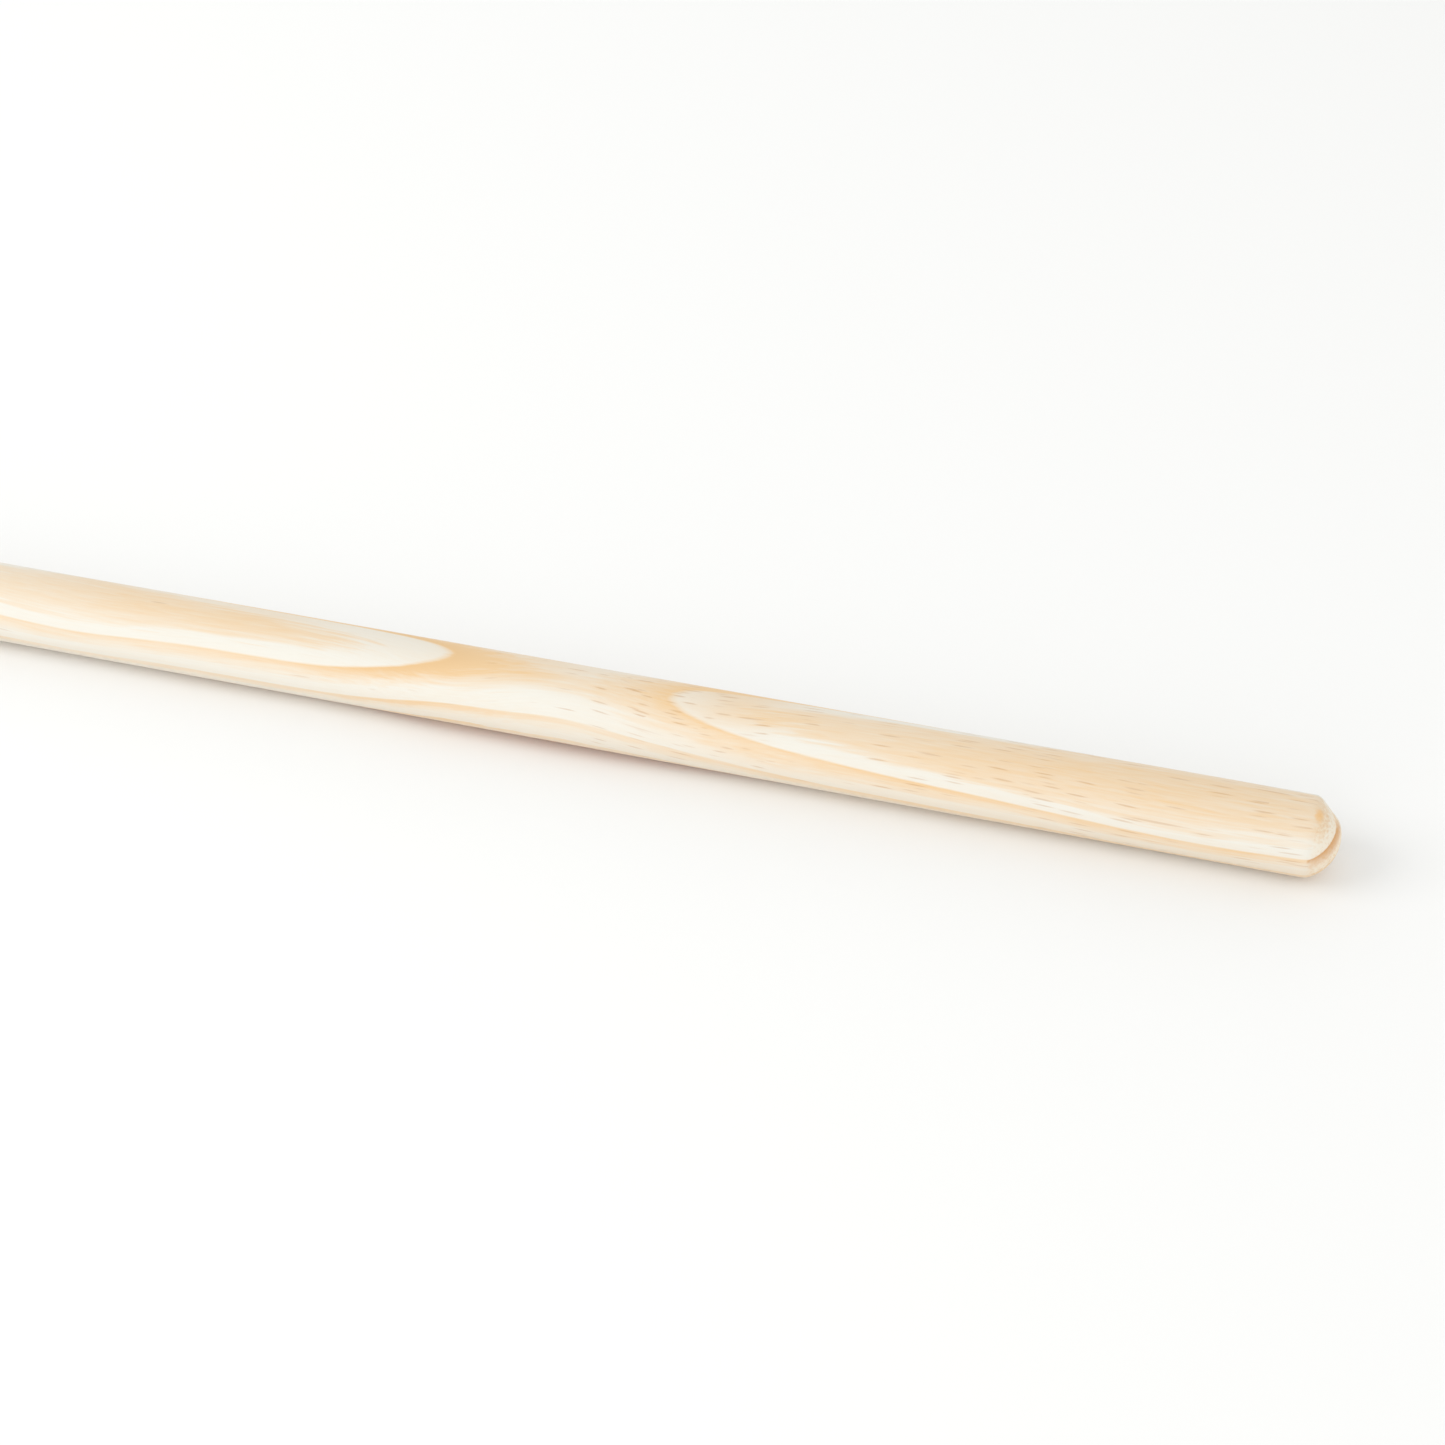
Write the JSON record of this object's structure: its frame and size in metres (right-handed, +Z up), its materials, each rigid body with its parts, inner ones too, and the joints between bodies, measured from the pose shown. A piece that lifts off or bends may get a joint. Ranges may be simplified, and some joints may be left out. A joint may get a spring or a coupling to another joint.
{
  "type": "wooden broom handle",
  "caption": "Round turned pine handle for a broom, mop or rake head, with a domed grip end and a square-sawn socket end with a small chamfer.",
  "frame": {"origin": "on the plane that the handle lies on, under the middle of its length", "axes": "+X along the handle towards the domed grip end, +Z up, +Y across"},
  "size_m": [1.2, 0.028, 0.028],
  "materials": {
    "pine": "sanded and unvarnished, matt"
  },
  "bodies": {
    "root": {"pine_handle": "pine"}
  },
  "joints": []
}
